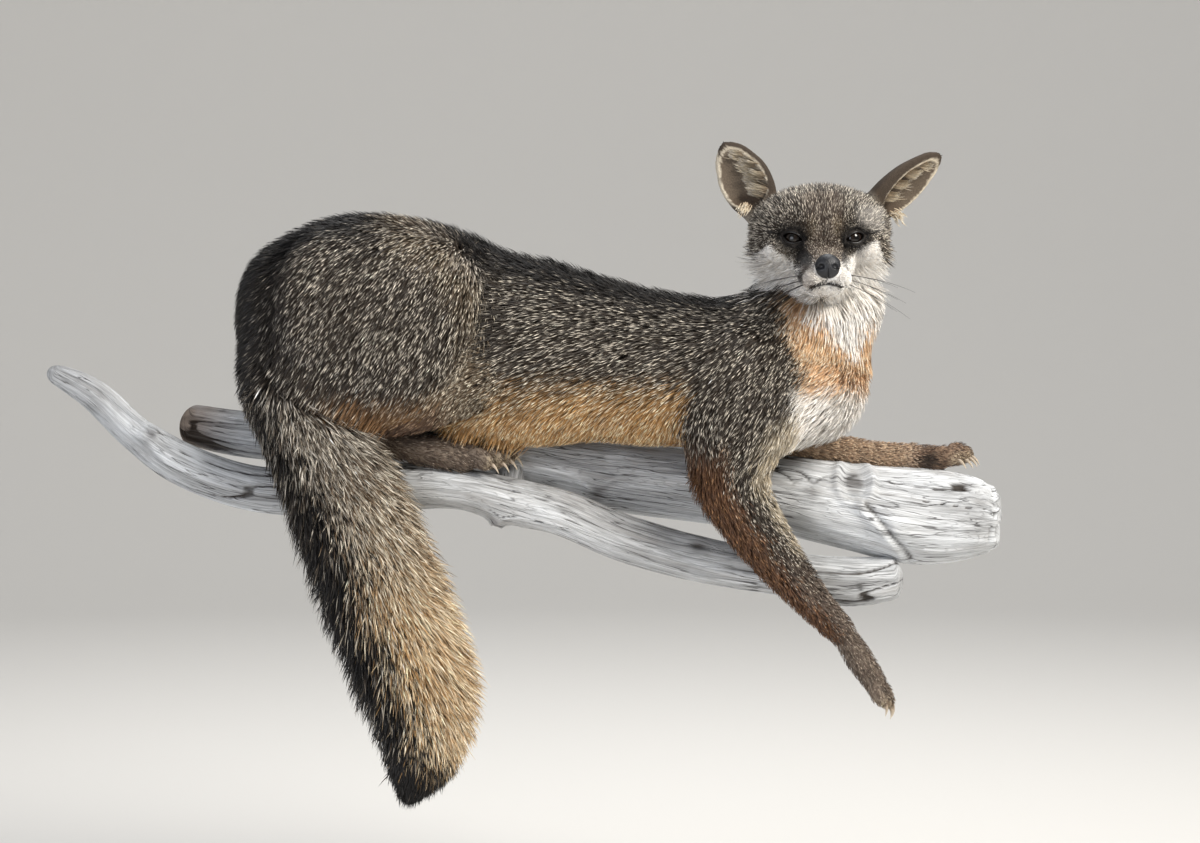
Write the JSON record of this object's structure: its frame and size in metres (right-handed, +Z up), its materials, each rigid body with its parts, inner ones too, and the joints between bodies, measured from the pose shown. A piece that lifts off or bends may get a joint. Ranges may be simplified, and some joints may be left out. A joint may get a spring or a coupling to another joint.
{
  "type": "gray fox taxidermy on driftwood",
  "caption": "Life-size mounted gray fox lying along two driftwood limbs, head turned to the viewer and tail hanging, on a hidden wall cleat.",
  "frame": {"origin": "middle of the wall cleat's back face, on the wall plane y = 0", "axes": "+Z up, +Y into the wall, +X from the fox's rump towards its chest; the object stands in front of the wall at negative y"},
  "size_m": [0.776, 0.1922, 0.5258],
  "materials": {
    "coat_grizzled": "grizzled gray guard hair over a dense underfur",
    "coat_pale": "soft white and cream hair of the throat and chest",
    "coat_tail": "long bushy hair, gray above with a black stripe, ochre below",
    "coat_rust": "short rust-coloured hair",
    "coat_paws": "very short brown hair, with horn claws",
    "coat_ears": "velvet-short brown hair outside, cream locks inside",
    "nose_leather": "pebbled, slightly moist black nose pad",
    "glass_eyes": "polished glass eye, dark brown",
    "driftwood": "weathered bare driftwood, silver gray, fine open grain and checks",
    "plywood": "sanded plywood, hidden behind the limb"
  },
  "bodies": {
    "root": {"head": "coat_grizzled", "neck": "coat_pale", "trunk": "coat_grizzled", "shoulder_right": "coat_grizzled", "thigh_right": "coat_grizzled", "thigh_left": "coat_grizzled", "tail_base": "coat_tail", "tail_middle": "coat_tail", "tail_tip": "coat_tail", "forearm_right": "coat_rust", "forearm_left": "coat_rust", "shank_right": "coat_rust", "shank_left": "coat_rust", "forepaw_right": "coat_paws", "forepaw_left": "coat_paws", "hindpaw_right": "coat_paws", "hindpaw_left": "coat_paws", "ear_right": "coat_ears", "ear_left": "coat_ears", "nose": "nose_leather", "eye_right": "glass_eyes", "eye_left": "glass_eyes", "log_upper": "driftwood", "log_lower": "driftwood", "wall_cleat": "plywood"}
  },
  "joints": []
}
